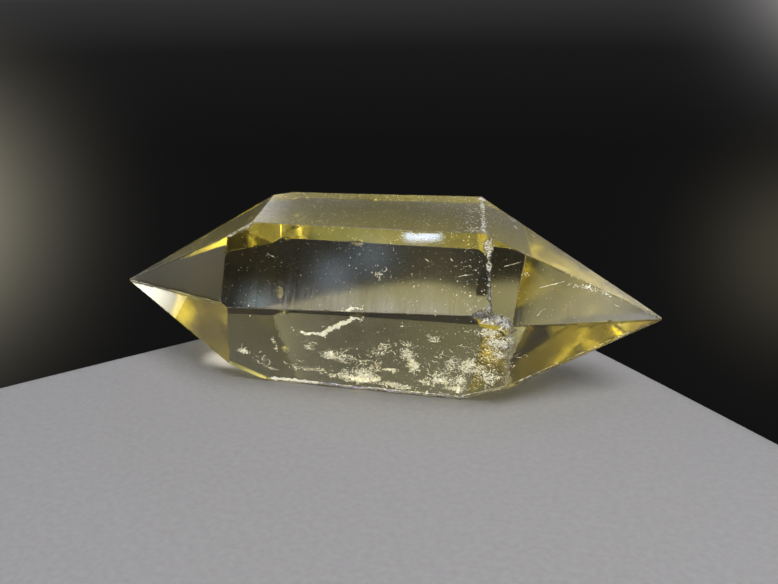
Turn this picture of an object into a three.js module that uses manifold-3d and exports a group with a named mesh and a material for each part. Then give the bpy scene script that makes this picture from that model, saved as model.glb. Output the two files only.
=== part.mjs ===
// Double terminated quartz point, lying on one side of its prism.
// Millimetres, +Z up, the long axis along X, the resting face on Z = 0.
import * as THREE from "three";
import { ConvexGeometry } from "three/addons/geometries/ConvexGeometry.js";
import { mergeVertices } from "three/addons/utils/BufferGeometryUtils.js";
import Module from "manifold-3d";

// Driving dimensions
const LENGTH = 54; // tip to tip, before the tips are worn
const HEIGHT = 17.3; // from the resting face to the top face, at mid length
const LEFT_WEAR = 0.25; // how far the left tip is rubbed back
const RIGHT_WEAR = 0.35;

// A prism face looks out at "facing" degrees round the long axis: 0 is level to the front (-Y) and
// 90 is straight up. "lean" turns it towards the right end, in degrees, and "out" is its distance
// from the middle of the crystal.
const MIDDLE = new THREE.Vector3(0, 0, HEIGHT / 2);
const PRISM = {
  bottom: { facing: -90, lean: 0, out: HEIGHT / 2 },
  lowerFront: { facing: -29, lean: -0.2, out: 7.3 },
  upperFront: { facing: 28, lean: -3.3, out: 9.0 },
  top: { facing: 87.5, lean: -1.3, out: HEIGHT / 2 },
  upperBack: { facing: 152, lean: 0, out: 9.25 },
  lowerBack: { facing: 207, lean: 0, out: 8.35 },
};

// Each end has six faces that meet at its tip. "slope" is a face's angle to the long axis.
const LEFT_TIP = new THREE.Vector3(-LENGTH / 2, -0.5, HEIGHT / 2);
const LEFT_END = {
  bottom: { facing: -86.5, slope: 28.6 },
  lowerFront: { facing: -22, slope: 26.2 },
  upperFront: { facing: 27, slope: 28.9 },
  top: { facing: 83, slope: 28.1 },
  upperBack: { facing: 149, slope: 30.8 },
  lowerBack: { facing: 215, slope: 28 },
};
const RIGHT_TIP = new THREE.Vector3(LENGTH / 2, 0, HEIGHT / 2 - 0.3);
const RIGHT_END = {
  bottom: { facing: -88.5, slope: 24.9 },
  lowerFront: { facing: -30, slope: 28 },
  upperFront: { facing: 32.3, slope: 33 },
  top: { facing: 92.5, slope: 28.5 },
  upperBack: { facing: 150, slope: 28 },
  lowerBack: { facing: 211, slope: 25 },
};

// A chip is broken out of the edge between two faces, "along" it from its left end, 0 to 1. It is
// part of a ball of the given radius that reaches "deep" into the crystal.
const CHIPS = [
  { edge: ["prism.upperFront", "prism.lowerFront"], along: 0.985, radius: 1.9, deep: 0.42 },
  { edge: ["prism.lowerFront", "right.upperFront"], along: 0.72, radius: 1.5, deep: 0.38 },
  { edge: ["prism.lowerFront", "right.lowerFront"], along: 0.7, radius: 1.3, deep: 0.22 },
  { edge: ["prism.lowerFront", "right.bottom"], along: 0.55, radius: 1.4, deep: 0.25 },
  { edge: ["prism.upperFront", "left.top"], along: 0.2, radius: 0.8, deep: 0.16 },
  { edge: ["prism.upperFront", "left.top"], along: 0.52, radius: 0.7, deep: 0.12 },
  { edge: ["prism.upperFront", "left.top"], along: 0.86, radius: 0.9, deep: 0.18 },
  { edge: ["prism.top", "right.top"], along: 0.06, radius: 1.0, deep: 0.2 },
  { edge: ["prism.top", "right.top"], along: 0.36, radius: 0.8, deep: 0.13 },
  { edge: ["prism.top", "right.top"], along: 0.63, radius: 0.8, deep: 0.12 },
  { edge: ["prism.top", "right.top"], along: 0.94, radius: 1.1, deep: 0.22 },
  { edge: ["prism.upperFront", "right.upperFront"], along: 0.12, radius: 1.0, deep: 0.2 },
  { edge: ["prism.upperFront", "right.upperFront"], along: 0.4, radius: 0.7, deep: 0.1 },
  { edge: ["prism.lowerFront", "prism.bottom"], along: 0.28, radius: 1.0, deep: 0.16 },
  { edge: ["prism.lowerFront", "prism.bottom"], along: 0.61, radius: 1.3, deep: 0.24 },
  { edge: ["prism.lowerFront", "prism.bottom"], along: 0.9, radius: 1.2, deep: 0.2 },
  { edge: ["right.lowerFront", "right.bottom"], along: 0.14, radius: 1.3, deep: 0.24 },
  { edge: ["right.lowerFront", "right.bottom"], along: 0.3, radius: 0.9, deep: 0.16 },
  { edge: ["right.lowerFront", "right.bottom"], along: 0.44, radius: 0.8, deep: 0.12 },
  { edge: ["right.top", "right.upperBack"], along: 0.16, radius: 1.1, deep: 0.2 },
  { edge: ["right.top", "right.upperBack"], along: 0.29, radius: 0.8, deep: 0.12 },
  { edge: ["prism.upperBack", "prism.lowerBack"], along: 0.4, radius: 1.3, deep: 0.2 },
  { edge: ["prism.lowerBack", "prism.bottom"], along: 0.7, radius: 1.1, deep: 0.18 },
  { edge: ["prism.lowerBack", "left.lowerBack"], along: 0.5, radius: 1.2, deep: 0.18 },
  { edge: ["left.lowerFront", "left.bottom"], along: 0.85, radius: 1.1, deep: 0.18 },
];

// The direction that looks out at an angle round the long axis, turned by lean towards +X.
function outward(facing, lean) {
  const round = THREE.MathUtils.degToRad(facing);
  const turn = THREE.MathUtils.degToRad(lean);
  const level = -Math.cos(round) * Math.cos(turn);
  return new THREE.Vector3(Math.sin(turn), level, Math.sin(round) * Math.cos(turn));
}

// Every face as a THREE.Plane whose normal points out of the crystal.
function facePlanes() {
  const planes = {};
  for (const [name, { facing, lean, out }] of Object.entries(PRISM)) {
    const normal = outward(facing, lean);
    planes["prism." + name] = new THREE.Plane(normal, -normal.dot(MIDDLE) - out);
  }
  for (const [name, { facing, slope }] of Object.entries(LEFT_END)) {
    const normal = outward(facing, -slope);
    planes["left." + name] = new THREE.Plane(normal, -normal.dot(LEFT_TIP));
  }
  for (const [name, { facing, slope }] of Object.entries(RIGHT_END)) {
    const normal = outward(facing, slope);
    planes["right." + name] = new THREE.Plane(normal, -normal.dot(RIGHT_TIP));
  }
  planes["left.wear"] = new THREE.Plane(new THREE.Vector3(-1, 0, 0), -LENGTH / 2 + LEFT_WEAR);
  planes["right.wear"] = new THREE.Plane(new THREE.Vector3(1, 0, 0), -LENGTH / 2 + RIGHT_WEAR);
  return planes;
}

// The point where three planes meet, or null where two of them are parallel.
function meetingPoint(a, b, c) {
  const across = new THREE.Vector3().crossVectors(b.normal, c.normal);
  const size = a.normal.dot(across);
  if (Math.abs(size) < 1e-6) return null;
  const point = across.multiplyScalar(-a.constant);
  point.addScaledVector(new THREE.Vector3().crossVectors(c.normal, a.normal), -b.constant);
  point.addScaledVector(new THREE.Vector3().crossVectors(a.normal, b.normal), -c.constant);
  return point.divideScalar(size);
}

// The crystal's corners: the points where three faces meet that lie outside no other face. Each
// corner keeps the names of its faces.
function corners(planes) {
  const names = Object.keys(planes);
  const found = [];
  names.forEach((a, i) =>
    names.slice(i + 1).forEach((b, j) =>
      names.slice(i + j + 2).forEach((c) => {
        const point = meetingPoint(planes[a], planes[b], planes[c]);
        if (!point) return;
        const outside = names.some((name) => planes[name].distanceToPoint(point) > 1e-6);
        if (!outside) found.push({ point, faces: [a, b, c] });
      }),
    ),
  );
  return found;
}

// The two ends of the edge between two faces, from left to right.
function edge(found, first, second) {
  const ends = found
    .filter(({ faces }) => faces.includes(first) && faces.includes(second))
    .map(({ point }) => point)
    .sort((a, b) => a.x - b.x);
  if (ends.length < 2) throw new Error("no edge between " + first + " and " + second);
  return [ends[0], ends[ends.length - 1]];
}

// A closed geometry as a manifold-3d solid.
function solid(wasm, geometry) {
  const bare = geometry.clone();
  bare.deleteAttribute("normal");
  bare.deleteAttribute("uv");
  const merged = mergeVertices(bare, 1e-4);
  const mesh = new wasm.Mesh({
    numProp: 3,
    vertProperties: merged.attributes.position.array,
    triVerts: new Uint32Array(merged.index.array),
  });
  return new wasm.Manifold(mesh);
}

// A solid as a geometry again, with flat facets.
function geometryOf(made) {
  const mesh = made.getMesh();
  const shared = new THREE.BufferGeometry();
  shared.setAttribute("position", new THREE.BufferAttribute(mesh.vertProperties, 3));
  shared.setIndex(new THREE.BufferAttribute(mesh.triVerts, 1));
  const geometry = shared.toNonIndexed();
  geometry.computeVertexNormals();
  return geometry;
}

// The faceted ball that a chip takes out of an edge: most of it lies outside the crystal. "turn"
// gives each chip facets of its own.
function chipBall(planes, found, chip, turn) {
  const [first, second] = chip.edge;
  const [start, end] = edge(found, first, second);
  const away = planes[first].normal.clone().add(planes[second].normal).normalize();
  const centre = start.clone().lerp(end, chip.along).addScaledVector(away, chip.radius - chip.deep);
  const ball = new THREE.IcosahedronGeometry(chip.radius, 1);
  ball.rotateX(turn);
  ball.rotateZ(2 * turn);
  ball.translate(centre.x, centre.y, centre.z);
  return ball;
}

// The crystal, with its chips taken out and its resting face centred on the origin.
function crystalGeometry(wasm) {
  const planes = facePlanes();
  const found = corners(planes);
  let made = solid(wasm, new ConvexGeometry(found.map(({ point }) => point)));
  CHIPS.forEach((chip, count) => {
    made = made.subtract(solid(wasm, chipBall(planes, found, chip, count)));
  });
  const geometry = geometryOf(made);
  geometry.computeBoundingBox();
  const centre = geometry.boundingBox.getCenter(new THREE.Vector3());
  geometry.translate(-centre.x, -centre.y, -geometry.boundingBox.min.z);
  return geometry;
}

// Clear quartz, pale lemon yellow in the depth of the stone.
function quartzMaterial() {
  return new THREE.MeshPhysicalMaterial({
    color: 0xe9e2a6,
    roughness: 0.04,
    metalness: 0,
    transmission: 1,
    ior: 1.544,
    thickness: HEIGHT,
    attenuationColor: new THREE.Color(0xc9b83a),
    attenuationDistance: LENGTH / 2,
  });
}

const wasm = await Module();
wasm.setup();

const crystal = new THREE.Mesh(crystalGeometry(wasm), quartzMaterial());
crystal.name = "quartz_point";

const group = new THREE.Group();
group.add(crystal);

export default group;
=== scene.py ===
"""Looks of the double terminated quartz point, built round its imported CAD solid.

The crystal's surface is rebuilt from the solid's own flat faces with fine, worn and chipped edges.
Its wisps, veils and cracks are meshes of tiny flakes inside it. The crystal and what lies in it are
worked out in millimetres, and the materials, stage, lights and camera in metres.
"""

import math
import random
from itertools import combinations

import bpy
import numpy as np
from mathutils import Matrix, Vector, noise
from mathutils.geometry import delaunay_2d_cdt
from numpy.linalg import det, norm, solve


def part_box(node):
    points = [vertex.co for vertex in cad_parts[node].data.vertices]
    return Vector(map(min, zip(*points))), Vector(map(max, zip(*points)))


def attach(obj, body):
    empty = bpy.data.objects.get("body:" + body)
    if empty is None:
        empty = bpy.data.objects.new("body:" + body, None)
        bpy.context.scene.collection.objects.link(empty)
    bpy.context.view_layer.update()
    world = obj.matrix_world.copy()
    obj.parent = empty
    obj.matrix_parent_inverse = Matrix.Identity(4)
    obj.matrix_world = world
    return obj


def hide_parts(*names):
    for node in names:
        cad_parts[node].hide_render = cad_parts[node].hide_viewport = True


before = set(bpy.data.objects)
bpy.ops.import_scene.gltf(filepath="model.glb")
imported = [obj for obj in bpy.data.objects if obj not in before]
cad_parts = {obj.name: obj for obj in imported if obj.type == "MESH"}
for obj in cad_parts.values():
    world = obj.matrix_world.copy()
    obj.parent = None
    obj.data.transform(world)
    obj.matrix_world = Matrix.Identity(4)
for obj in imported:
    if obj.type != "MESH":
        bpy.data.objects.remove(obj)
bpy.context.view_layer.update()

MM = 0.001
NODE = "quartz_point"


# ---- The crystal's flat faces, read from the CAD solid ----

END_SLOPE = 0.2  # a face whose normal leans further along X than this belongs to an end
SAME_NORMAL = 0.9995  # facets belong to one face when the product of their normals is above this
SAME_REACH_MM = 0.08
LARGE_FACE_MM2 = 5.0  # the facets of a chip are smaller than this
SIDES = ["bottom", "lower_front", "upper_front", "top", "upper_back", "lower_back"]


def side_of(normal):
    """The name of the side that a normal looks to, round the long axis."""
    facing = math.degrees(math.atan2(normal[2], -normal[1]))
    return SIDES[round((facing + 90) / 60) % 6]


def face_name(normal):
    """Such as prism.top or left.lower_back."""
    part = "prism" if abs(normal[0]) < END_SLOPE else ("left" if normal[0] < 0 else "right")
    return part + "." + side_of(normal)


def flat_faces(node):
    """Outward normal and distance from the origin, in mm, of each large flat face by name."""
    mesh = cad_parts[node].data
    groups = []
    for polygon in sorted(mesh.polygons, key=lambda p: -p.area):
        normal = np.array(polygon.normal)
        reach = normal @ np.array(mesh.vertices[polygon.vertices[0]].co) / MM
        for group in groups:
            close = abs(reach - group["reach"]) < SAME_REACH_MM
            if close and normal @ group["normal"] > SAME_NORMAL:
                group["area"] += polygon.area
                break
        else:
            groups.append({"normal": normal, "reach": reach, "area": polygon.area})
    large = [g for g in groups if g["area"] > LARGE_FACE_MM2 * MM * MM]
    return {face_name(g["normal"]): (g["normal"], g["reach"]) for g in large}


def tip_faces(node):
    """The two small worn faces at the tips, square to the long axis."""
    low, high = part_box(node)
    left = (np.array([-1.0, 0, 0]), -low[0] / MM)
    right = (np.array([1.0, 0, 0]), high[0] / MM)
    return {"left.wear": left, "right.wear": right}


faces = {**flat_faces(NODE), **tip_faces(NODE)}
face_names = list(faces)
normals = np.array([faces[name][0] for name in face_names])
reaches = np.array([faces[name][1] for name in face_names])


def find_corners():
    """The points where three faces meet, in mm, each with the indices of its faces."""
    found = []
    for three in map(list, combinations(range(len(face_names)), 3)):
        if abs(det(normals[three])) < 1e-6:
            continue
        point = solve(normals[three], reaches[three])
        if np.all(normals @ point - reaches < 1e-4):
            found.append((point, set(three)))
    return found


corners = find_corners()


def edge_between(first, second):
    """The two ends, from left to right, of the edge between two faces, in mm."""
    pair = {face_names.index(first), face_names.index(second)}
    ends = sorted((p for p, touching in corners if pair <= touching), key=lambda p: p[0])
    return ends[0], ends[-1]


def all_edges():
    """Every edge as the names of its two faces."""
    found = []
    for a, b in combinations(range(len(face_names)), 2):
        if sum({a, b} <= touching for _, touching in corners) == 2:
            found.append((face_names[a], face_names[b]))
    return found


# ---- The crystal's surface, with its worn edges and chips ----

EDGE_STEP_MM = 0.14  # spacing of the mesh along an edge
ROWS_MM = [0.03, 0.07, 0.12, 0.19, 0.29, 0.45, 0.7, 1.1]  # rows of points in from each edge
INNER_STEP_MM = 1.3  # spacing of the mesh inside the rows

FRONT = "prism.lower_front"
MAIN = "prism.upper_front"
TIP = "right.upper_front"
TOP = "prism.top"
BOTTOM = "prism.bottom"

# The large chips are those of the CAD solid, by edge: the place along it from its left end, the
# radius and depth in mm, and how white the break is.
LARGE_CHIPS = {
    (MAIN, FRONT): [(0.985, 1.9, 0.42, 0.32)],
    (FRONT, TIP): [(0.72, 1.5, 0.38, 0.32)],
    (FRONT, "right.lower_front"): [(0.7, 1.3, 0.22, 0.7)],
    (FRONT, "right.bottom"): [(0.55, 1.4, 0.25, 0.8)],
    (MAIN, "left.top"): [(0.2, 0.8, 0.16, 1.0), (0.52, 0.7, 0.12, 1.0), (0.86, 0.9, 0.18, 1.0)],
    (TOP, "right.top"): [
        (0.06, 1.0, 0.2, 0.6), (0.36, 0.8, 0.13, 0.6), (0.63, 0.8, 0.12, 0.6), (0.94, 1.1, 0.22, 0.6),
    ],
    (MAIN, TIP): [(0.12, 1.0, 0.2, 0.3), (0.4, 0.7, 0.1, 0.2)],
    (FRONT, BOTTOM): [(0.28, 1.0, 0.16, 1.0), (0.61, 1.3, 0.24, 1.0), (0.9, 1.2, 0.2, 1.0)],
    ("right.lower_front", "right.bottom"): [
        (0.14, 1.3, 0.24, 0.6), (0.3, 0.9, 0.16, 0.6), (0.44, 0.8, 0.12, 0.6),
    ],
    ("right.top", "right.upper_back"): [(0.16, 1.1, 0.2, 0.8), (0.29, 0.8, 0.12, 0.8)],
    ("prism.upper_back", "prism.lower_back"): [(0.4, 1.3, 0.2, 0.4)],
    ("prism.lower_back", BOTTOM): [(0.7, 1.1, 0.18, 0.4)],
    ("prism.lower_back", "left.lower_back"): [(0.5, 1.2, 0.18, 0.4)],
    ("left.lower_front", "left.bottom"): [(0.85, 1.1, 0.18, 0.5)],
}

# How an edge is worn: how crisp it is, per mm (more is sharper), the number of small chips per mm,
# and how white the rubbing has left it.
WEAR = {
    (TOP, "right.top"): (24, 6.0, 1.0),
    (MAIN, "left.top"): (16, 4.0, 1.0),
    (MAIN, TIP): (26, 2.6, 0.8),
    (FRONT, BOTTOM): (8, 3.0, 1.0),
    ("right.lower_front", "right.bottom"): (12, 2.6, 0.6),
    (FRONT, TIP): (12, 3.0, 1.0),
    (FRONT, "right.lower_front"): (14, 1.4, 0.6),
    (FRONT, "right.bottom"): (10, 2.2, 0.8),
    ("right.top", "right.upper_back"): (14, 1.3, 0.6),
    ("right.top", TIP): (26, 0.5, 0.5),
    (TOP, "prism.upper_back"): (18, 0.3, 0.1),
    (TOP, MAIN): (30, 0.4, 0.3),
    (MAIN, FRONT): (34, 0.5, 0.4),
    ("left.upper_front", "left.lower_front"): (16, 0.1, 0.1),
    ("left.top", "left.upper_front"): (18, 0.1, 0.1),
}
OTHER_WEAR = (75, 0.1, 0.0)


def wear_of(first, second):
    """How an edge is worn, with its two faces in either order."""
    return WEAR.get((first, second), WEAR.get((second, first), OTHER_WEAR))


# Ranges of a small chip: its radius in mm, a factor on that, and its depth as a share of its radius.
SMALL_RADIUS_MM = (0.14, 0.42)
SMALL_FACTOR = (0.6, 1.3)
SMALL_DEPTH = (0.12, 0.36)


def chip_balls():
    """Centre and radius, in mm, of the ball behind every chip, and how white its hollow is."""
    chance = random.Random(7)
    balls = []

    def add(first, second, along, radius, deep, white):
        start, end = edge_between(first, second)
        away = faces[first][0] + faces[second][0]
        away = away / norm(away)
        centre = start + along * (end - start) + away * (radius - deep)
        balls.append((centre, radius, white))

    for edge, chips in LARGE_CHIPS.items():
        for chip in chips:
            add(*edge, *chip)
    for first, second in all_edges():
        start, end = edge_between(first, second)
        _, often, white = wear_of(first, second)
        for _ in range(round(often * norm(end - start))):
            radius = chance.uniform(*SMALL_RADIUS_MM) * chance.uniform(*SMALL_FACTOR)
            deep = radius * chance.uniform(*SMALL_DEPTH)
            add(first, second, chance.uniform(0.01, 0.99), radius, deep, white)
    return balls


hollows = chip_balls()


def sides_of(polygon):
    """The two ends of every side of a polygon."""
    return zip(polygon, polygon[1:] + polygon[:1])


def inset(polygon, t):
    """A convex 2D polygon moved in by t on every side, or an empty list."""
    result = polygon
    for start, end in sides_of(polygon):
        along = (end - start) / norm(end - start)
        inward = np.array([-along[1], along[0]])
        kept = []
        for p, q in sides_of(result):
            dp = (p - start) @ inward - t
            dq = (q - start) @ inward - t
            if dp >= 0:
                kept.append(p)
            if (dp >= 0) != (dq >= 0):
                kept.append(p + dp / (dp - dq) * (q - p))
        result = kept
        if len(result) < 3:
            return []
    return result


def points_along(start, end, step):
    """Evenly spaced points from start up to but not including end, the same from either side."""
    turned = tuple(start) > tuple(end)
    a, b = (end, start) if turned else (start, end)
    count = max(1, math.ceil(norm(b - a) / step))
    points = [a + (b - a) * (i / count) for i in range(count + 1)]
    if turned:
        points.reverse()
    return points[:-1]


def inner_points(polygon):
    """A grid of points inside a convex 2D polygon."""
    if not polygon:
        return []
    low = np.min(polygon, axis=0)
    high = np.max(polygon, axis=0)
    found = []
    for u in np.arange(low[0], high[0], INNER_STEP_MM):
        for v in np.arange(low[1], high[1], INNER_STEP_MM):
            turns = [
                (b[0] - a[0]) * (v - a[1]) - (b[1] - a[1]) * (u - a[0])
                for a, b in sides_of(polygon)
            ]
            if min(turns) > 0:
                found.append((u, v))
    return found


def face_mesh(index):
    """Points in mm, and triangles, of one flat face, with rows that crowd towards its edges."""
    normal = normals[index]
    outline = [p for p, touching in corners if index in touching]
    middle = np.mean(outline, axis=0)
    across = outline[0] - middle
    across -= normal * (across @ normal)
    across /= norm(across)
    up = np.cross(normal, across)
    outline.sort(key=lambda p: math.atan2((p - middle) @ up, (p - middle) @ across))
    flat = [np.array([(p - middle) @ across, (p - middle) @ up]) for p in outline]

    points = []
    for start, end in sides_of(outline):
        points += points_along(start, end, EDGE_STEP_MM)
    for row in ROWS_MM:
        for start, end in sides_of(inset(flat, row)):
            if norm(end - start) < 1e-6:
                continue
            for u, v in points_along(start, end, max(EDGE_STEP_MM, 0.8 * row)):
                points.append(middle + u * across + v * up)
    for u, v in inner_points(inset(flat, ROWS_MM[-1] + 0.6 * INNER_STEP_MM)):
        points.append(middle + u * across + v * up)
    flat_points = [Vector(((p - middle) @ across, (p - middle) @ up)) for p in points]
    _, _, triangles, sources, _, _ = delaunay_2d_cdt(flat_points, [], [], 0, 1e-6)
    kept = [points[source[0]] for source in sources]
    return kept, [tuple(t) for t in triangles]


def weld(parts):
    """Joins face meshes at their shared edge points."""
    index_of = {}
    points = []
    triangles = []
    for part_points, part_triangles in parts:
        numbers = []
        for p in part_points:
            key = tuple(np.round(p, 4) + 0.0)
            if key not in index_of:
                index_of[key] = len(points)
                points.append(p)
            numbers.append(index_of[key])
        for part_triangle in part_triangles:
            triangle = tuple(numbers[i] for i in part_triangle)
            if len(set(triangle)) == 3:
                triangles.append(triangle)
    return np.array(points), triangles


def edge_wear(points):
    """How crisp and how white the nearest edge leaves each point of the flat faces."""
    gaps = points @ normals.T - reaches
    nearest = np.argsort(-gaps, axis=1)[:, :2]
    crisp = np.empty(len(points))
    white = np.empty(len(points))
    for i, p in enumerate(points):
        slow = noise.noise(Vector(p * 0.45))
        quick = noise.noise(Vector(p * 2.6) + Vector((9, 4, 2)))
        sharp, _, whiteness = wear_of(face_names[nearest[i, 0]], face_names[nearest[i, 1]])
        crisp[i] = sharp * math.exp(0.7 * slow + 0.5 * quick)
        white[i] = whiteness
    return crisp, white


CHIP_REACH_MM = 0.4  # a chip moves no point further from its ball than this
CHIP_ROUGHNESS = 0.05  # how far a chip's hollow strays from its ball, as a share of its radius
RUBBED_MM = 0.04  # an edge is at its whitest where it is worn back this far
SETTLING_STEPS = 6


def worn(points):
    """Points moved onto the worn surface, with their normals and how white each one is."""
    crisp, white = edge_wear(points)
    near = []
    for centre, radius, _ in hollows:
        away = norm(points - centre, axis=1)
        near.append(np.nonzero(away < radius + CHIP_REACH_MM)[0])
    rough = np.array([noise.noise(Vector(p * 5.0)) for p in points])

    moved = points.copy()
    chipped = np.zeros(len(points))
    for _ in range(SETTLING_STEPS):
        gaps = moved @ normals.T - reaches
        weight = np.exp(crisp[:, None] * (gaps - gaps.max(axis=1, keepdims=True)))
        total = weight.sum(axis=1)
        value = gaps.max(axis=1) + np.log(total) / crisp
        slope = (weight @ normals) / total[:, None]
        length = norm(slope, axis=1)
        value = value / length
        slope = slope / length[:, None]
        for (centre, radius, whiteness), close in zip(hollows, near):
            off = moved[close] - centre
            away = norm(off, axis=1)
            bitten = radius * (1 + CHIP_ROUGHNESS * rough[close]) - away
            inside = bitten > value[close]
            hit = close[inside]
            value[hit] = bitten[inside]
            slope[hit] = -off[inside] / away[inside][:, None]
            chipped[hit] = whiteness
        moved = moved - value[:, None] * slope
    rounded = white * np.clip(norm(moved - points, axis=1) / RUBBED_MM, 0, 1)
    return moved, slope, np.maximum(rounded, chipped)


# The polish: how hazy it is, how many pits and how many fine upright brush marks it has, and how
# satin it is. Each has a value for most of the faces, and then the faces that differ.
POLISH = {
    "haze": (0.03, {TOP: 1.0, "right.top": 0.4, "left.top": 0.1, "left.upper_front": 0.1, TIP: 0.12}),
    "pits": (0.15, {TOP: 1.1, "right.top": 0.6, TIP: 0.5, MAIN: 0.5}),
    "brushed": (0.0, {MAIN: 1.0, TIP: 0.3}),
    "satin": (0.0, {
        "prism.lower_back": 1.0, "left.lower_back": 0.5, "right.lower_back": 0.24, "right.top": 0.5,
    }),
}
BRUSHED_BELOW_MM = 12.6  # the brushing fades out up to this height, over this far
BRUSHED_FADE_MM = 2.4
BRUSHED_FROM_MM = -12.0  # and towards this place in X
BRUSHED_FADE_X_MM = 6.0
GIRDLE_X_MM = 11.0  # the pits are thickest round the right-hand girdle
GIRDLE_WIDTH_MM = 2.2
GIRDLE_PITS = 1.2


def polish(points):
    """How hazy, pitted, brushed and satin the surface is at each point."""
    own = [face_names[i] for i in np.argmax(points @ normals.T - reaches, axis=1)]
    found = {}
    for quality, (mostly, differing) in POLISH.items():
        found[quality] = np.array([differing.get(name, mostly) for name in own])
    found["brushed"] *= np.clip((BRUSHED_BELOW_MM - points[:, 2]) / BRUSHED_FADE_MM, 0.06, 1)
    found["brushed"] *= np.clip((points[:, 0] - BRUSHED_FROM_MM) / BRUSHED_FADE_X_MM, 0.15, 1)
    girdle = np.exp(-(((points[:, 0] - GIRDLE_X_MM) / GIRDLE_WIDTH_MM) ** 2))
    found["pits"] *= 1 + GIRDLE_PITS * girdle
    return found


def placed(name, data):
    """A new object in the scene."""
    made = bpy.data.objects.new(name, data)
    bpy.context.scene.collection.objects.link(made)
    return made


def mesh_object(name, points, polygons, material, smooth=False):
    """A new object whose mesh has these points, in metres."""
    mesh = bpy.data.meshes.new(name)
    mesh.from_pydata([tuple(p) for p in points], [], polygons, shade_flat=not smooth)
    mesh.materials.append(material)
    return placed(name, mesh)


def crystal(material):
    """The crystal's worn surface, with its wear and its polish as attributes."""
    points, triangles = weld([face_mesh(i) for i in range(len(face_names))])
    moved, slope, rubbed = worn(points)
    low, high = (np.array(corner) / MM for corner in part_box(NODE))
    moved = np.clip(moved, low, high)
    made = mesh_object("quartz_crystal", moved * MM, triangles, material, smooth=True)
    for name, values in {"rubbed": rubbed, **polish(points)}.items():
        attribute = made.data.attributes.new(name, "FLOAT", "POINT")
        attribute.data.foreach_set("value", values.astype(np.float32))
    made.data.normals_split_custom_set_from_vertices([tuple(n) for n in slope])
    return made


# ---- What lies inside the crystal ----


def under(face, x, other, depth):
    """A point this deep under a face. "other" is z on a side face, and y on a top or bottom one."""
    normal, reach = faces[face]
    if abs(normal[1]) > abs(normal[2]):
        y = (reach - depth - normal[0] * x - normal[2] * other) / normal[1]
        return np.array([x, y, other])
    z = (reach - depth - normal[0] * x - normal[1] * other) / normal[2]
    return np.array([x, other, z])


def tangents(face, turn):
    """Two unit vectors along a face: the first is X turned by this many degrees."""
    normal = faces[face][0]
    across = np.array([1.0, 0, 0]) - normal * normal[0]
    across /= norm(across)
    up = np.cross(normal, across)
    angle = math.radians(turn)
    cos, sin = math.cos(angle), math.sin(angle)
    return across * cos + up * sin, up * cos - across * sin


CLEARANCE_MM = 0.05  # flakes keep this far inside the crystal's surface
EDGE_ROUNDING = 6  # as crisp, per mm, as the most rounded edge
DEPTH_MM = 1.7  # how deep most of the flakes lie under the face that they are seen through
LACE_CELL_MM = 0.042  # spacing of the web's mesh
LACE_THREADS = 2.6  # how many threads of web cross one mm
HAIR_WIDTH_MM = 0.042
HAIR_CURL = 55  # how far a hair may turn at each step, in degrees


def buried(points):
    """Which of these points lie inside the crystal, clear of its faces and of its chips."""
    gaps = points @ normals.T - reaches
    rounded = np.log(np.exp(EDGE_ROUNDING * gaps).sum(axis=1)) / EDGE_ROUNDING
    inside = rounded < -CLEARANCE_MM
    for centre, radius, _ in hollows:
        inside &= norm(points - centre, axis=1) > 1.06 * radius + CLEARANCE_MM
    return inside


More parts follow.
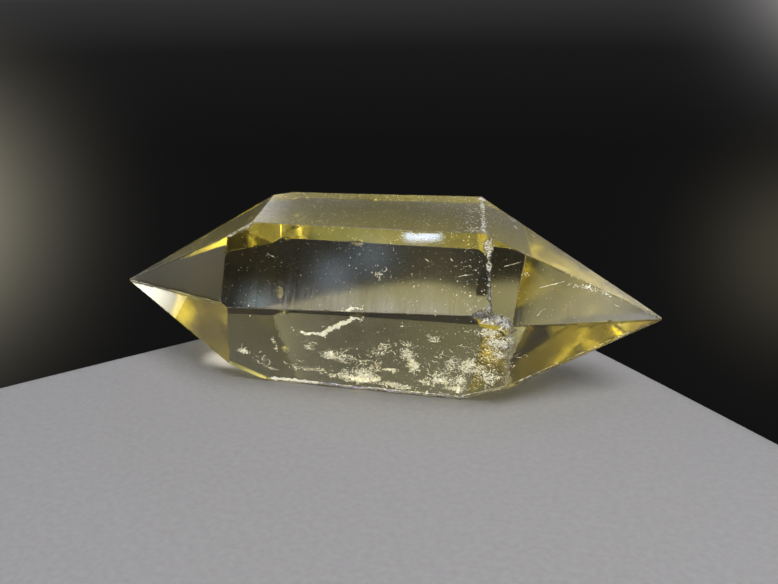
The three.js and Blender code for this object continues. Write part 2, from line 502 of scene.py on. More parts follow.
class Heap:
    """Points and triangles of many small flakes that become one mesh."""

    def __init__(self, seed):
        self.chance = random.Random(seed)
        self.points = []
        self.triangles = []

    def object(self, name, material):
        """One object made of all the flakes that lie wholly inside the crystal."""
        points = np.array(self.points)
        inside = buried(points)
        kept = [t for t in self.triangles if all(inside[i] for i in t)]
        used = sorted({i for t in kept for i in t})
        number = {i: n for n, i in enumerate(used)}
        triangles = [tuple(number[i] for i in t) for t in kept]
        return mesh_object(name, points[used] * MM, triangles, material)

    def add(self, points, triangles):
        first = len(self.points)
        self.points += points
        self.triangles += [tuple(first + i for i in t) for t in triangles]

    def lace(self, face, x, other, width, height, cover, turn, stretch=1.0, depth=DEPTH_MM):
        """A crumpled patch of web, of which this share is kept, with threads drawn out by stretch."""
        cell = LACE_CELL_MM
        chance = self.chance
        middle = under(face, x, other, depth)
        normal = faces[face][0]
        across, up = tangents(face, turn)
        seed = Vector([chance.uniform(0, 99) for _ in range(3)])
        columns, rows = round(width / cell), round(height / cell)
        grid = {}
        for i in range(columns + 1):
            for j in range(rows + 1):
                s = (i / columns - 0.5) * width + chance.uniform(-0.3, 0.3) * cell
                t = (j / rows - 0.5) * height + chance.uniform(-0.3, 0.3) * cell
                bend = 0.7 * noise.noise(seed + Vector((s, t, 0)) * 0.5)
                bend += 0.15 * noise.noise(seed + Vector((s, t, 5)) * 4)
                grid[i, j] = middle + across * s + up * t + normal * bend
        values = {}
        for i in range(columns):
            for j in range(rows):
                s = ((i + 0.5) / columns - 0.5) * width
                t = ((j + 0.5) / rows - 0.5) * height
                edge = (2 * s / width) ** 2 + (2 * t / height) ** 2
                if edge > 1.2:
                    continue
                where = seed + Vector((s / stretch, t * stretch, 0))
                aside = noise.noise(where * 2.2 + Vector((0, 0, 4)))
                warp = Vector((noise.noise(where * 2.2), aside, 0))
                web = 1 - 3.0 * abs(noise.noise(where * LACE_THREADS + 0.6 * warp))
                thin = where * LACE_THREADS * 1.8 + Vector((3, 1, 7))
                web = max(web, 0.9 - 3.0 * abs(noise.noise(thin)))
                fray = 0.3 * noise.noise(where * 9)
                bulk = noise.noise(where * 0.9 + Vector((0, 0, 9)))
                values[i, j] = web + fray + 0.55 * bulk - 0.65 * edge
        limit = np.quantile(list(values.values()), 1 - cover)
        for (i, j), value in values.items():
            if value < limit:
                continue
            quad = [grid[i, j], grid[i + 1, j], grid[i + 1, j + 1], grid[i, j + 1]]
            self.add(quad, [(0, 1, 2), (0, 2, 3)])

    def ribbon(self, path, widths, face, lumps, steps=9):
        """A flat thread with lumpy edges through a path of points, facing out of a face."""
        normal = faces[face][0]
        seed = self.chance.uniform(0, 99)
        points = []
        for (a, b), (wa, wb) in zip(zip(path, path[1:]), zip(widths, widths[1:])):
            for i in range(steps):
                points.append((a + (b - a) * i / steps, wa + (wb - wa) * i / steps))
        points.append((path[-1], widths[-1]))
        rails = []
        for i, (p, width) in enumerate(points):
            ahead = points[min(i + 1, len(points) - 1)][0] - points[max(i - 1, 0)][0]
            side = np.cross(normal, ahead)
            side /= norm(side)
            left = 0.5 * width * (1 + lumps * 2 * noise.noise(Vector((seed, i * 0.6, 0))))
            right = 0.5 * width * (1 + lumps * 2 * noise.noise(Vector((seed, i * 0.6, 7))))
            lift = normal * 0.1 * noise.noise(Vector((seed, i * 0.4, 3)))
            rails += [p + side * left + lift, p + normal * 0.08 * width, p - side * right - lift]
        triangles = []
        for i in range(len(points) - 1):
            for k in (0, 1):
                a, b = 3 * i + k, 3 * i + k + 1
                triangles += [(a, b, b + 3), (a, b + 3, a + 3)]
        self.add(rails, triangles)

    def thread(self, start, face, length, width, turn):
        """A fine curved hair that sets off at a turn along a face."""
        pieces = max(4, round(length / 0.16))
        path = [start]
        for _ in range(pieces):
            turn += self.chance.uniform(-HAIR_CURL, HAIR_CURL)
            step = tangents(face, turn)[0] + faces[face][0] * self.chance.uniform(-0.4, 0.4)
            path.append(path[-1] + step * length / pieces)
        widths = [width * (1 - 0.8 * abs(2 * i / pieces - 1) ** 3) for i in range(pieces + 1)]
        self.ribbon(path, widths, face, 0.5, 2)

    def tuft(self, face, x, other, count, spread, length, turn, fan):
        """Hairs that start near a place and fan out round a turn."""
        for _ in range(count):
            start_x = x + self.chance.gauss(0, spread)
            start_other = other + self.chance.gauss(0, spread)
            start = under(face, start_x, start_other, DEPTH_MM + self.chance.uniform(-0.3, 0.3))
            own_length = length * self.chance.uniform(0.4, 1.3)
            width = HAIR_WIDTH_MM * self.chance.uniform(0.5, 1.5)
            self.thread(start, face, own_length, width, turn + self.chance.uniform(-fan, fan))

    def flake(self, place, size):
        """One crooked flake."""
        corners = [place + np.array([self.chance.gauss(0, size) for _ in range(3)]) for _ in range(4)]
        self.add(corners, [(0, 1, 2), (1, 2, 3)])

    def clump(self, face, x, other, count, wide, high, size, depth=DEPTH_MM):
        """Many flakes crowded round a place."""
        across, up = tangents(face, 0)
        middle = under(face, x, other, depth)
        for _ in range(count):
            off = across * self.chance.gauss(0, wide) + up * self.chance.gauss(0, high)
            off += faces[face][0] * self.chance.gauss(0, 0.15)
            self.flake(middle + off, size * self.chance.uniform(0.4, 1.4))


THREAD_DEPTH_MM = 1.9

# The white thread behind the lower front face: x, z and width in mm.
WHITE_THREAD = [
    (-5.9, 7.45, 0.2), (-5.7, 7.25, 0.36), (-5.3, 7.1, 0.36), (-5.0, 7.25, 0.22), (-4.4, 7.3, 0.28),
    (-3.8, 7.2, 0.5), (-3.4, 7.6, 0.4), (-2.7, 8.1, 0.44), (-2.1, 8.4, 0.6), (-1.6, 8.85, 0.4),
    (-1.0, 9.1, 0.36), (-0.5, 9.5, 0.34), (0.0, 9.72, 0.2), (0.2, 9.5, 0.1),
]

# Specks round the white thread: x and z in mm.
THREAD_SPECKS = [(0.5, 9.75), (0.35, 9.45), (-6.6, 7.5), (-3.6, 7.0)]

EDGE_THREAD_MM = 0.3  # how far in an edge's threads lie, along the normals of both its faces

# Broken threads just inside an edge, glowing as a painted highlight along its white wear: its faces,
# the share of it from and to, and width. The brightest has two strands and the white thread's material.
BRIGHT_EDGE_HIGHLIGHT = (FRONT, BOTTOM, 0.02, 0.27, 0.42)
EDGE_THREADS = [
    (FRONT, BOTTOM, 0.1, 0.3, 0.2),
    (FRONT, BOTTOM, 0.34, 0.46, 0.07),
    (FRONT, BOTTOM, 0.5, 0.99, 0.12),
    (FRONT, "right.bottom", 0.05, 0.95, 0.1),
    ("right.lower_front", "right.bottom", 0.03, 0.34, 0.1),
    ("right.lower_front", "right.bottom", 0.4, 0.8, 0.06),
]


def edge_thread(heap, first, second, begin, end, width):
    """A lumpy broken thread a little way in from part of an edge; it glows, a painted highlight on the
    edge.
    """
    left, right = edge_between(first, second)
    inward = -(faces[first][0] + faces[second][0])
    pieces = max(3, round(norm(right - left) * (end - begin) / 0.5))
    path = []
    widths = []
    for i in range(pieces + 1):
        share = begin + (end - begin) * i / pieces
        path.append(left + share * (right - left) + EDGE_THREAD_MM * inward)
        widths.append(width * heap.chance.uniform(0.3, 1.5))
    heap.ribbon(path, widths, first, 0.8, 3)


def white_thread(material):
    """The white thread, with specks round it and a painted highlight of glowing threads along the edge
    below.
    """
    heap = Heap(11)
    path = [under(FRONT, x, z, THREAD_DEPTH_MM) for x, z, _ in WHITE_THREAD]
    heap.ribbon(path, [width for _, _, width in WHITE_THREAD], FRONT, 0.75)
    for x, z, width in WHITE_THREAD[1::2]:
        heap.clump(FRONT, x, z, 5, 0.12, 0.5 * width, 0.05, THREAD_DEPTH_MM)
    for x, z in THREAD_SPECKS:
        heap.clump(FRONT, x, z, 6, 0.06, 0.06, 0.06, THREAD_DEPTH_MM)
    for _ in range(2):
        edge_thread(heap, *BRIGHT_EDGE_HIGHLIGHT)
    return heap.object("white_thread", material)


# Lacy patches behind the lower front face: x, z, width, height, share kept, turn, stretch.
VEILS = [
    (-12.9, 4.1, 1.7, 1.0, 0.32, -25, 1.4),
    (-8.9, 5.6, 0.9, 2.2, 0.1, 10, 1.0),
    (-5.3, 5.6, 1.9, 1.3, 0.16, 15, 1.2),
    (-2.7, 4.5, 4.8, 2.0, 0.2, -12, 1.3),
    (-3.6, 4.6, 1.8, 1.5, 0.3, -20, 1.0),
    (-1.6, 2.1, 4.4, 2.0, 0.34, 22, 1.5),
    (-0.2, 1.7, 2.6, 1.5, 0.62, 28, 1.8),
    (1.6, 6.0, 3.2, 1.8, 0.14, 25, 1.2),
    (4.3, 5.2, 2.0, 3.8, 0.26, 5, 1.1),
    (4.5, 4.1, 1.1, 1.9, 0.34, 0, 1.0),
    (6.9, 7.8, 1.1, 0.9, 0.3, 0, 1.0),
    (2.2, 3.2, 1.6, 0.35, 0.5, -4, 1.6),
    (9.2, 4.7, 6.4, 4.0, 0.1, 25, 1.0),
    (10.8, 5.0, 4.4, 3.6, 0.13, 35, 1.1),
    (12.0, 3.6, 3.0, 3.0, 0.14, 50, 1.1),
    (12.3, 7.6, 2.6, 3.2, 0.14, 60, 1.0),
    (12.0, 9.0, 1.8, 1.4, 0.2, 20, 1.0),
    (7.3, 2.3, 5.6, 2.2, 0.17, 8, 1.2),
    (8.4, 1.4, 3.0, 1.0, 0.3, 4, 1.3),
    (2.4, 1.1, 5.4, 1.2, 0.3, -6, 1.4),
    (-10.6, 2.2, 3.2, 1.0, 0.14, -18, 1.4),
    (-6.4, 2.2, 3.6, 1.3, 0.1, 6, 1.3),
]

# Crumbled web round the broken corner: face, x, z, width, height, share kept, turn, depth.
CORNER_VEILS = [
    (FRONT, 11.6, 9.1, 2.8, 1.5, 0.26, 15, 0.9),
    (FRONT, 12.6, 8.2, 1.7, 2.6, 0.26, 80, 0.7),
    (FRONT, 12.9, 6.4, 1.3, 2.4, 0.22, 85, 0.5),
    (MAIN, 12.2, 10.3, 2.4, 1.3, 0.34, 25, 0.8),
    (TIP, 13.3, 9.7, 1.4, 1.2, 0.26, 40, 0.7),
]


def veils(material):
    """Lacy patches, and the web round the broken corner."""
    heap = Heap(12)
    for row in VEILS:
        heap.lace(FRONT, *row)
    for *row, depth in CORNER_VEILS:
        heap.lace(*row, depth=depth)
    return heap.object("white_veils", material)


# Fans of hairs: face, x, z, number, spread, length, turn, fan.
TUFTS = [
    (FRONT, -12.5, 3.9, 8, 0.25, 1.0, 150, 18),
    (FRONT, -10.6, 2.9, 12, 0.35, 0.9, 95, 50),
    (FRONT, -8.2, 3.0, 5, 0.4, 1.1, -50, 25),
    (FRONT, -7.6, 2.4, 4, 0.3, 1.0, 40, 20),
    (FRONT, -5.4, 5.7, 5, 0.35, 0.9, 0, 60),
    (FRONT, -1.8, 4.6, 22, 0.8, 1.1, 20, 70),
    (FRONT, 0.4, 3.0, 34, 0.6, 1.8, 205, 28),
    (FRONT, 0.9, 3.6, 10, 0.3, 1.0, 75, 50),
    (FRONT, 2.0, 5.6, 8, 0.5, 1.0, 45, 40),
    (FRONT, 4.4, 6.6, 14, 0.4, 0.9, 90, 90),
    (FRONT, 6.9, 7.8, 9, 0.2, 0.6, 90, 180),
    (FRONT, 7.6, 5.2, 5, 0.9, 0.7, 90, 60),
    (FRONT, 9.6, 4.6, 46, 1.5, 0.7, 30, 180),
    (FRONT, 12.0, 6.4, 34, 0.9, 0.7, 80, 180),
    (FRONT, 7.0, 2.8, 44, 1.3, 0.7, 95, 60),
    (FRONT, 11.4, 3.0, 34, 1.0, 0.7, 60, 180),
    (MAIN, 1.8, 13.0, 7, 0.22, 0.9, -25, 50),
]

# Crowded flakes: face, x, z, number, width, height, size.
CLUMPS = [
    (FRONT, -5.2, 2.4, 50, 0.7, 0.25, 0.08),
    (FRONT, -3.6, 1.7, 40, 0.6, 0.2, 0.08),
    (FRONT, -12.5, 3.9, 14, 0.35, 0.12, 0.08),
    (FRONT, -8.9, 4.8, 10, 0.12, 0.12, 0.08),
    (FRONT, -0.9, 1.6, 170, 0.9, 0.35, 0.12),
    (FRONT, 4.5, 3.9, 60, 0.25, 0.6, 0.1),
    (FRONT, 2.2, 3.2, 30, 0.55, 0.08, 0.09),
    (FRONT, 5.4, 2.0, 26, 0.3, 0.5, 0.11),
    (FRONT, 6.6, 2.4, 44, 0.25, 0.6, 0.12),
    (FRONT, 7.4, 2.2, 36, 0.25, 0.4, 0.11),
    (FRONT, 8.6, 1.4, 44, 0.4, 0.4, 0.12),
    (FRONT, 3.0, 1.0, 60, 1.2, 0.2, 0.08),
    (FRONT, 10.9, 4.2, 26, 0.9, 0.8, 0.07),
    (FRONT, 12.4, 3.4, 18, 0.6, 0.4, 0.08),
    (FRONT, 12.3, 8.9, 26, 0.5, 0.4, 0.08),
    (MAIN, 1.9, 12.95, 9, 0.35, 0.12, 0.05),
    (MAIN, 9.6, 14.0, 18, 0.5, 0.04, 0.04),
]

# The same close to the surface: face, x, z (or y), number, width, height, size.
SHALLOW_CLUMPS = [
    (TIP, 20.1, 11.75, 66, 0.6, 0.13, 0.08),
    (TIP, 18.7, 12.2, 26, 0.5, 0.06, 0.05),
    (TIP, 21.6, 11.05, 30, 0.3, 0.14, 0.07),
    (TIP, 14.6, 13.6, 16, 0.2, 0.06, 0.06),
    ("right.top", 12.4, 3.6, 26, 0.2, 0.3, 0.07),
    ("right.top", 12.9, 1.5, 18, 0.12, 0.25, 0.06),
    ("right.top", 14.6, 2.3, 14, 0.3, 0.1, 0.05),
]
SHALLOW_MM = 0.35


def wisps(material):
    """Broken threads that paint a highlight along edges, hairs and clumps."""
    heap = Heap(13)
    for row in EDGE_THREADS:
        edge_thread(heap, *row)
    for row in TUFTS:
        heap.tuft(*row)
    for row in CLUMPS:
        heap.clump(*row)
    for row in SHALLOW_CLUMPS:
        heap.clump(*row, SHALLOW_MM)
    return heap.object("white_wisps", material)


MARK_MM = 0.06  # how deep a mark lies

# Single fine marks just under the surface: face, x and z (or y) of both ends, width.
MARKS = [
    (MAIN, -8.7, 14.4, -7.9, 14.1, 0.07),
    (MAIN, 6.1, 14.95, 6.5, 14.75, 0.08),
    (MAIN, 8.3, 15.15, 8.6, 14.95, 0.08),
    (MAIN, 9.0, 13.75, 10.4, 14.05, 0.07),
    (TIP, 12.9, 14.6, 14.2, 14.75, 0.07),
    (TIP, 15.9, 12.55, 18.2, 12.75, 0.07),
    (TIP, 15.6, 10.2, 16.2, 10.8, 0.05),
    (TIP, 16.2, 10.8, 16.6, 10.85, 0.04),
    (TIP, 22.3, 10.3, 22.8, 10.0, 0.07),
    (TOP, -7.2, 1.2, -6.2, 0.4, 0.07),
    (TOP, -6.6, -4.3, -5.9, -4.2, 0.12),
    (TOP, -4.7, -4.2, -3.7, -4.1, 0.1),
    (TOP, -2.6, -4.9, -1.5, -4.8, 0.12),
    (TOP, 2.6, 3.4, 3.4, 3.2, 0.08),
]


# Strewn specks: face, number, range of x and where they are thickest, and ranges of z, depth and size.
STREWN = [
    (FRONT, 420, (-12.5, 13, 11), (1.5, 9.5), (0.2, 2.2), (0.018, 0.055)),
    (MAIN, 300, (-11.5, 13, 12), (10.3, 16.6), (0.1, 1.2), (0.015, 0.046)),
]
# Those of the right tip are equally thick along x, and all at one depth.
TIP_STREWN = (TIP, 60, (14, 24), (9.5, 12), 0.5, (0.012, 0.035))


def specks(material):
    """Fine marks, and specks strewn through the front of the stone."""
    heap = Heap(14)
    for face, x, z, to_x, to_z, width in MARKS:
        start = under(face, x, z, MARK_MM)
        end = under(face, to_x, to_z, MARK_MM)
        middle = (start + end) / 2 + heap.chance.uniform(-0.06, 0.06) * tangents(face, 90)[0]
        heap.ribbon([start, middle, end], [0.4 * width, width, 0.4 * width], face, 0.5, 4)
    for face, count, across, high, deep, size in STREWN:
        for _ in range(count):
            x = heap.chance.triangular(*across)
            z = heap.chance.uniform(*high)
            place = under(face, x, z, heap.chance.uniform(*deep))
            heap.flake(place, heap.chance.uniform(*size))
    face, count, across, high, deep, size = TIP_STREWN
    for _ in range(count):
        x = heap.chance.uniform(*across)
        place = under(face, x, heap.chance.uniform(*high), deep)
        heap.flake(place, heap.chance.uniform(*size))
    return heap.object("specks", material)


# ---- Materials ----


class Nodes:
    """The node tree of a material or world, with short ways to add and join nodes."""

    def __init__(self, owner, output="ShaderNodeOutputMaterial"):
        self.owner = owner
        owner.use_nodes = True
        self.tree = owner.node_tree
        self.tree.nodes.clear()
        self.output = self.tree.nodes.new(output)

    def add(self, kind, inputs=None, **settings):
        node = self.tree.nodes.new(kind)
        for key, value in settings.items():
            setattr(node, key, value)
        for key, value in (inputs or {}).items():
            if isinstance(value, bpy.types.NodeSocket):
                self.tree.links.new(value, node.inputs[key])
            else:
                node.inputs[key].default_value = value
        return node

    def finish(self, name, shader):
        self.tree.links.new(shader.outputs[0], self.output.inputs[name])
        return self.owner

    def math(self, operation, first, second=0.5, clamp=False):
        node = self.add("ShaderNodeMath", {0: first, 1: second}, operation=operation)
        node.use_clamp = clamp
        return node.outputs[0]

    def times(self, first, second):
        return self.math("MULTIPLY", first, second)

    def plus(self, first, second):
        return self.math("ADD", first, second)

    def remap(self, value, low, high, to_low, to_high):
        inputs = {0: value, 1: low, 2: high, 3: to_low, 4: to_high}
        return self.add("ShaderNodeMapRange", inputs).outputs[0]

    def noise(self, scale, detail, roughness, where):
        inputs = {"Vector": where, "Scale": scale, "Detail": detail, "Roughness": roughness}
        return self.add("ShaderNodeTexNoise", inputs).outputs[0]

    def place(self):
        return self.add("ShaderNodeTexCoord").outputs["Object"]

    def attribute(self, name):
        return self.add("ShaderNodeAttribute", attribute_name=name).outputs["Fac"]

    def mix_colour(self, factor, first, second):
        inputs = {"Factor": factor, 6: first, 7: second}
        return self.add("ShaderNodeMix", inputs, data_type="RGBA").outputs[2]


POLISH_CENTRE = (0.016, 0.0, -0.03)  # the polishing lines are arcs round this point
POLISH_LINES = 2200  # noise cells per metre across the polishing lines
PIT_CELLS = 4600  # cells per metre in which a pit may lie
PIT_SIZE = 0.13  # a pit's radius as a share of its cell
DEPTH_COLOUR = (0.977, 0.895, 0.12, 1)  # the stone takes blue out of the light that crosses it
DEPTH_DENSITY = 60
# How much rougher, and how much whiter, the haze, the brush marks and the frost make the surface.
ROUGHENING = {"haze": 0.06, "brush": 0.09, "frost": 0.5}
WHITENING = {"haze": 0.02, "brush": 0.27, "frost": 0.85}
FINE_RELIEF = 0.000004  # height of the polishing lines
CRUMPLED_RELIEF = 0.00022  # height of the crumpled break inside a chip


def polishing_lines(nodes, place):
    """Fine uneven arcs, from 0 to 1, round a centre below the stone."""
    off = nodes.add("ShaderNodeVectorMath", {0: place, 1: POLISH_CENTRE}, operation="DISTANCE")
    drift = nodes.times(nodes.noise(160, 2, 0.5, place), 0.0012)
    away = nodes.times(nodes.plus(off.outputs["Value"], drift), POLISH_LINES)
    inputs = {"W": away, "Scale": 1.0, "Detail": 4.0, "Roughness": 0.65}
    return nodes.add("ShaderNodeTexNoise", inputs, noise_dimensions="1D").outputs[0]


def pits(nodes, place):
    """1 in the small pits of the surface and 0 between them."""
    cells = nodes.add("ShaderNodeTexVoronoi", {"Vector": place, "Scale": PIT_CELLS})
    size = nodes.times(nodes.attribute("pits"), PIT_SIZE)
    chosen = nodes.add("ShaderNodeSeparateColor", {0: cells.outputs["Color"]}).outputs[0]
    size = nodes.times(size, nodes.remap(chosen, 0.45, 1.0, 0.0, 2.2))
    return nodes.math("LESS_THAN", cells.outputs["Distance"], size)


def quartz_material():
    """Clear quartz, lemon yellow in its depth, with a worn polish and white, crumpled chips."""
    nodes = Nodes(bpy.data.materials.new("quartz"))
    place = nodes.place()
    grain = nodes.noise(2600, 3, 0.6, place)
    patches = nodes.noise(420, 3, 0.6, place)
    off_line = nodes.math("ABSOLUTE", nodes.math("SUBTRACT", nodes.noise(3400, 3, 0.6, place), 0.5))
    frost = nodes.times(nodes.attribute("rubbed"), nodes.remap(off_line, 0.01, 0.07, 1.0, 0.12))
    frost = nodes.times(frost, nodes.remap(patches, 0.36, 0.56, 0.45, 1.1))
    frost = nodes.math("MAXIMUM", frost, nodes.times(pits(nodes, place), 0.7), clamp=True)

    along = nodes.add("ShaderNodeMapping", {"Vector": place, "Scale": (420, 2600, 2600)})
    streaks = nodes.noise(1.0, 4, 0.65, along.outputs[0])
    haze = nodes.times(nodes.attribute("haze"), nodes.remap(streaks, 0.38, 0.66, 0.1, 1.9))
    haze = nodes.times(haze, nodes.remap(grain, 0.35, 0.65, 0.5, 1.3))
    upright = {"Vector": place, "Rotation": (0, 0.14, 0), "Scale": (8000, 300, 300)}
    brush = nodes.noise(1.0, 3, 0.6, nodes.add("ShaderNodeMapping", upright).outputs[0])
    brush = nodes.times(nodes.attribute("brushed"), nodes.remap(brush, 0.35, 0.7, 0.1, 1.0))

    lines = polishing_lines(nodes, place)
    roughness = nodes.times(haze, ROUGHENING["haze"])
    roughness = nodes.plus(roughness, nodes.remap(lines, 0.3, 0.7, 0.0, 0.02))
    satin = nodes.times(nodes.attribute("satin"), nodes.remap(patches, 0.3, 0.7, 0.2, 0.26))
    roughness = nodes.plus(roughness, satin)
    roughness = nodes.plus(roughness, nodes.times(brush, ROUGHENING["brush"]))
    roughness = nodes.plus(roughness, nodes.times(frost, ROUGHENING["frost"]))
    height = nodes.plus(nodes.times(lines, 0.5), nodes.times(frost, grain))
    fine = nodes.add("ShaderNodeBump", {"Strength": 0.2, "Distance": FINE_RELIEF, "Height": height})
    crumple = nodes.times(nodes.attribute("rubbed"), nodes.noise(1900, 3, 0.6, place))
    inputs = {"Strength": 1.0, "Distance": CRUMPLED_RELIEF, "Height": crumple, "Normal": fine.outputs[0]}
    bump = nodes.add("ShaderNodeBump", inputs)

    clear = 1.0
    for kind, amount in {"haze": haze, "brush": brush, "frost": frost}.items():
        clear = nodes.math("SUBTRACT", clear, nodes.times(amount, WHITENING[kind]), clamp=True)
    shader = nodes.add("ShaderNodeBsdfPrincipled", {
        "Base Color": (0.985, 0.985, 0.975, 1),
        "IOR": 1.544,
        "Roughness": roughness,
        "Transmission Weight": clear,
        "Normal": bump.outputs[0],
    })
    inputs = {"Color": DEPTH_COLOUR, "Density": DEPTH_DENSITY}
    nodes.finish("Volume", nodes.add("ShaderNodeVolumeAbsorption", inputs))
    return nodes.finish("Surface", shader)


def flake_material(name, least_glow):
    """Cream white flakes with painted light: they glow by emission, which stands in for the lamp light
    that they catch, brightest in small spots; the second argument is how bright that glow is between
    them.
    """
    nodes = Nodes(bpy.data.materials.new(name))
    place = nodes.place()
    tone = nodes.remap(nodes.noise(900, 3, 0.6, place), 0.35, 0.65, 0.0, 1.0)
    grain = nodes.noise(9000, 2, 0.5, place)
    bump = nodes.add("ShaderNodeBump", {"Strength": 0.4, "Distance": 0.00002, "Height": grain})
    colour = nodes.mix_colour(tone, (0.98, 0.965, 0.9, 1), (0.94, 0.89, 0.72, 1))
    # Painted glints: the emission is brightest in small spots, and the second argument sets it between
    # them.
    painted_glow = nodes.remap(nodes.noise(6500, 2, 0.6, place), 0.5, 0.63, least_glow, 1.3)
    shader = nodes.add("ShaderNodeBsdfPrincipled", {
        "Base Color": colour,
        "Roughness": nodes.remap(grain, 0.3, 0.7, 0.3, 0.6),
        "Normal": bump.outputs[0],
        "Emission Color": colour,
        "Emission Strength": painted_glow,
    })
    return nodes.finish("Surface", shader)


def floor_material():
    """Plain pale paper."""
    nodes = Nodes(bpy.data.materials.new("pale_paper"))
    place = nodes.place()
    fibres = nodes.noise(1800, 4, 0.6, place)
    tone = nodes.remap(fibres, 0.3, 0.7, 0.0, 1.0)
    bump = nodes.add("ShaderNodeBump", {"Strength": 0.2, "Distance": 0.00005, "Height": fibres})
    shader = nodes.add("ShaderNodeBsdfPrincipled", {
        "Base Color": nodes.mix_colour(tone, (0.31, 0.31, 0.318, 1), (0.36, 0.36, 0.368, 1)),
        "Roughness": nodes.remap(fibres, 0.3, 0.7, 0.7, 0.85),
        "Normal": bump.outputs[0],
    })
    return nodes.finish("Surface", shader)


# ---- Stage, lights and camera ----

FLOOR_SIDE = 0.066  # how far the paper reaches to each side
FLOOR_FRONT = -0.05  # its front edge
FLOOR_FLAT = 0.002  # the least depth of the paper's flat part
FLOOR_DROP = 0.5  # how far it hangs down behind
FLOOR_Z = -0.00003  # a hair below the crystal, so that the two don't coincide
FLOOR_BACK = 0.025  # how far the paper lies flat behind the crystal, at the furthest
FLOOR_BACK_X = 0.002  # where that is
FLOOR_BEND = 0.008  # how broadly the edge curves there
FLOOR_SLANT = 1.2  # and how steeply it runs forward on either side
FLOOR_ROLL = 0.009  # radius of the roll
ROLL_STEPS = 24
FLOOR_COLUMNS = 60  # columns of the mesh on either side of the middle
FLOOR_CROWDING = 1.5  # how much they crowd towards it


def floor_edge(x):
    """Where the paper starts to roll down: a broad curve behind the crystal."""
    off = x - FLOOR_BACK_X
    return FLOOR_BACK - FLOOR_SLANT * (math.hypot(off, FLOOR_BEND) - FLOOR_BEND)


def paper_floor():
    """A sheet of pale paper that lies flat and rolls down out of sight behind the crystal."""
    roll = []
    for i in range(ROLL_STEPS + 1):
        turn = math.radians(90) * i / ROLL_STEPS
        roll.append((FLOOR_ROLL * math.sin(turn), -FLOOR_ROLL * (1 - math.cos(turn))))
    roll.append((FLOOR_ROLL, -FLOOR_DROP))
    points = []
    for i in range(-FLOOR_COLUMNS, FLOOR_COLUMNS + 1):
        x = math.copysign(FLOOR_SIDE * (abs(i) / FLOOR_COLUMNS) ** FLOOR_CROWDING, i)
        edge = floor_edge(x)
        points.append((x, min(FLOOR_FRONT, edge - FLOOR_FLAT), FLOOR_Z))
        points += [(x, edge + y, FLOOR_Z + z) for y, z in roll]
    rows = len(roll) + 1
    quads = []
    for i in range(2 * FLOOR_COLUMNS):
        for j in range(rows - 1):
            first = i * rows + j
            quads.append((first, first + rows, first + rows + 1, first + 1))
    floor = mesh_object("paper_floor", points, quads, floor_material(), smooth=True)


def direction(azimuth, elevation):
    """The unit vector towards a place round the crystal: 0 is behind it and 90 to its right."""
    turn = math.radians(azimuth)
    rise = math.radians(elevation)
    level = math.cos(rise)
    return Vector((math.sin(turn) * level, math.cos(turn) * level, math.sin(rise)))


# The studio's brightness at some heights above the horizon, in degrees.
STUDIO = [
    (-90, 0.006), (-9, 0.006), (-3, 0.01), (0, 0.03), (4, 0.12), (8, 0.16), (12, 0.16), (15, 0.135),
    (18.5, 0.125), (21, 0.08), (24, 0.055), (30, 0.07), (45, 0.12), (70, 0.16), (90, 0.5),
]

# Soft glows of the studio walls: azimuth, elevation, width in degrees, and colour. A negative colour
# is a shade: it takes away part of the light that is there.
GLOWS = [
    (16, 4, 5.5, (0.85, 0.82, 0.8)),
    (14, -15, 5, (0.05, 0.045, 0.03)),
    (-24.2, 16.6, 1.7, (1.4, 1.4, 1.42)),
    (-17.5, 27, 3, (1.6, 1.5, 4.5)),
    (-46, -11.5, 7, (0.4, 0.37, 0.28)),
    (-57, -6, 6, (0.42, 0.4, 0.32)),
    (-75, -33.6, 2.1, (6.5, 6.5, 5.8)),
    (-91, 11.5, 5, (0.5, 0.5, 0.52)),
    (-109, 62, 12, (0.45, 0.45, 0.55)),
    (2, 38, 6, (0.35, 0.34, 0.3)),
    (92, 72, 6, (0.12, 0.16, 0.3)),
    (172.6, 15.6, 2.7, (1, 0.93, 0.8)),
    (177, 21.8, 3.2, (-0.05, -0.05, -0.05)),
    (-9, 85, 2.5, (2.4, 2.5, 7)),
    (-15.5, 16.7, 3.1, (-0.095, -0.095, -0.095)),
    (-20.5, 16.8, 1.8, (-0.02, -0.02, -0.02)),
    (-13.5, 14, 6, (-0.035, -0.037, -0.055)),
    (-146.6, 30.3, 1, (2, 2.6, 2.7)),
    (-151.5, 33.9, 1.4, (1.7, 2, 2.4)),
    (-154, 36.2, 1.6, (1.2, 1.5, 1.8)),
    (-159.5, 36, 2.8, (0.8, 0.7, 0.4)),
    (-153.3, 32, 1, (1.5, 1.5, 1.8)),
    (-156.6, 32.6, 1.1, (2.4, 2.4, 2.8)),
    (-160.2, 33.2, 1.2, (1.8, 1.8, 2.1)),
    (-156.4, 38.2, 0.33, (11, 13, 17)),
    (-157, 38.3, 0.33, (12, 14, 19)),
    (-157.6, 38.45, 0.33, (12, 14, 19)),
    (-158.2, 38.6, 0.33, (12, 14, 19)),
    (-158.8, 38.75, 0.33, (11, 13, 17)),
    (-155, 61, 8, (0.3, 0.42, 1.15)),
    (-168.5, 62.7, 3, (-0.2, -0.22, -0.36)),
]


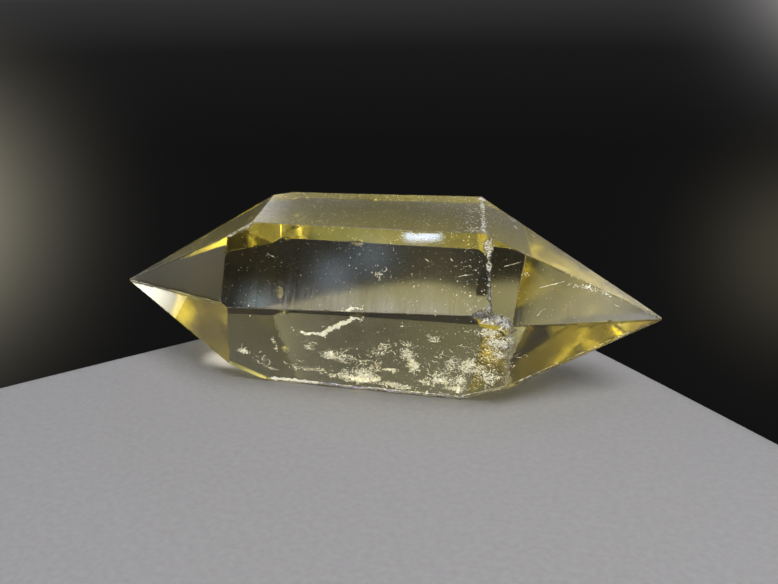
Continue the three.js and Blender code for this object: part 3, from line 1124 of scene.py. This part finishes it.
def surroundings():
    """A dim grey studio, lighter above, with soft glows."""
    world = bpy.data.worlds.new("studio")
    nodes = Nodes(world, "ShaderNodeOutputWorld")
    bpy.context.scene.world = world
    towards = nodes.add("ShaderNodeTexCoord").outputs["Generated"]
    height = nodes.add("ShaderNodeSeparateXYZ", {0: towards}).outputs[2]
    ramp = nodes.add("ShaderNodeValToRGB", {0: nodes.remap(height, -1.0, 1.0, 0.0, 1.0)})
    stops = ramp.color_ramp.elements
    for i, (elevation, grey) in enumerate(STUDIO):
        place = 0.5 + 0.5 * math.sin(math.radians(elevation))
        stop = stops[i] if i < 2 else stops.new(place)
        stop.position = place
        stop.color = (grey, grey, 1.05 * grey, 1)
    light = ramp.outputs[0]
    for azimuth, elevation, width, colour in GLOWS:
        aim = {0: towards, 1: direction(azimuth, elevation)}
        near = nodes.add("ShaderNodeVectorMath", aim, operation="DOT_PRODUCT").outputs["Value"]
        off = nodes.math("SUBTRACT", near, 1.0)
        fade = nodes.math("EXPONENT", nodes.math("DIVIDE", off, 1 - math.cos(math.radians(width))))
        glow = nodes.add("ShaderNodeVectorMath", {0: colour, "Scale": fade}, operation="SCALE")
        light = nodes.add("ShaderNodeVectorMath", {0: light, 1: glow.outputs[0]}).outputs[0]
    nodes.finish("Surface", nodes.add("ShaderNodeBackground", {0: light}))


# Azimuth, elevation, distance, width, height, radiance and colour of each softbox.
SOFTBOXES = {
    "key_softbox": (143, 54, 0.4, 0.2, 0.2, 12.0, (1.0, 0.97, 0.93)),
    "left_softbox": (-90, 25, 0.4, 0.24, 0.098, 2.4, (1, 1, 1)),
    "right_high_softbox": (97, 32.2, 0.2, 0.03, 0.029, 2.3, (1, 1, 1)),
    "right_low_softbox": (121, 13, 0.4, 0.1, 0.06, 2.6, (1, 1, 1)),
}
STONE_MIDDLE = (0, 0, 0.009)  # what the softboxes face

# The pool of light on the floor under the left tip: its place, then the lamp's azimuth, elevation,
# distance, spread in degrees, power and colour.
LEFT_POOL = ((-0.0153, 0.0018, 0.0), -112, 42, 0.25, 1.7, 6.0, (1, 0.92, 0.78))


def hang(light, target, azimuth, elevation, away):
    """Hangs a light at this distance from its target, facing it."""
    lamp = placed(light.name, light)
    place = direction(azimuth, elevation)
    lamp.location = place * away + Vector(target)
    lamp.rotation_euler = place.to_track_quat("Z", "Y").to_euler()


def softbox(name, azimuth, elevation, away, width, height, radiance, colour):
    """A soft rectangular light that faces the crystal."""
    light = bpy.data.lights.new(name, "AREA")
    light.shape = "RECTANGLE"
    light.size = width
    light.size_y = height
    light.energy = radiance * math.pi * width * height
    light.color = colour
    hang(light, STONE_MIDDLE, azimuth, elevation, away)


def pool(name, target, azimuth, elevation, away, spread, power, colour):
    """A soft-edged spot of light on the floor."""
    light = bpy.data.lights.new(name, "SPOT")
    light.energy = power
    light.color = colour
    light.spot_size = math.radians(spread)
    light.spot_blend = 1.0
    light.shadow_soft_size = 0.0
    hang(light, target, azimuth, elevation, away)


CAMERA_PLACE = (0.01955, -0.07548, 0.03612)
# The camera first looks straight down, and these turns are made from the last to the first.
CAMERA_TURNS = [(13.75, "Z"), (-19.19, "X"), (0.59, "Y"), (90, "X")]
SENSOR_WIDTH_MM = 36
LENS_MM = 38.84


def camera():
    """A camera in front of the crystal, to its right and a little above it."""
    data = bpy.data.cameras.new("camera")
    data.sensor_width = SENSOR_WIDTH_MM
    data.lens = LENS_MM
    data.clip_start = 0.005
    data.clip_end = 20
    view = placed("camera", data)
    turned = Matrix()
    for degrees, axis in CAMERA_TURNS:
        turned = turned @ Matrix.Rotation(math.radians(degrees), 4, axis)
    view.matrix_world = Matrix.Translation(CAMERA_PLACE) @ turned
    bpy.context.scene.camera = view


stone = crystal(quartz_material())
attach(stone, "root")
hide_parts(NODE)

# Both flake materials glow by emission as painted light, the flakes more brightly than the web.
web = flake_material("ice_web", 0.1)
flakes = flake_material("ice_flakes", 0.4)
for inside in (white_thread(flakes), veils(web), wisps(web), specks(flakes)):
    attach(inside, "root")

paper_floor()
surroundings()
for name, settings in SOFTBOXES.items():
    softbox(name, *settings)
pool("left_pool", *LEFT_POOL)
bpy.context.scene.view_settings.view_transform = "Standard"
camera()
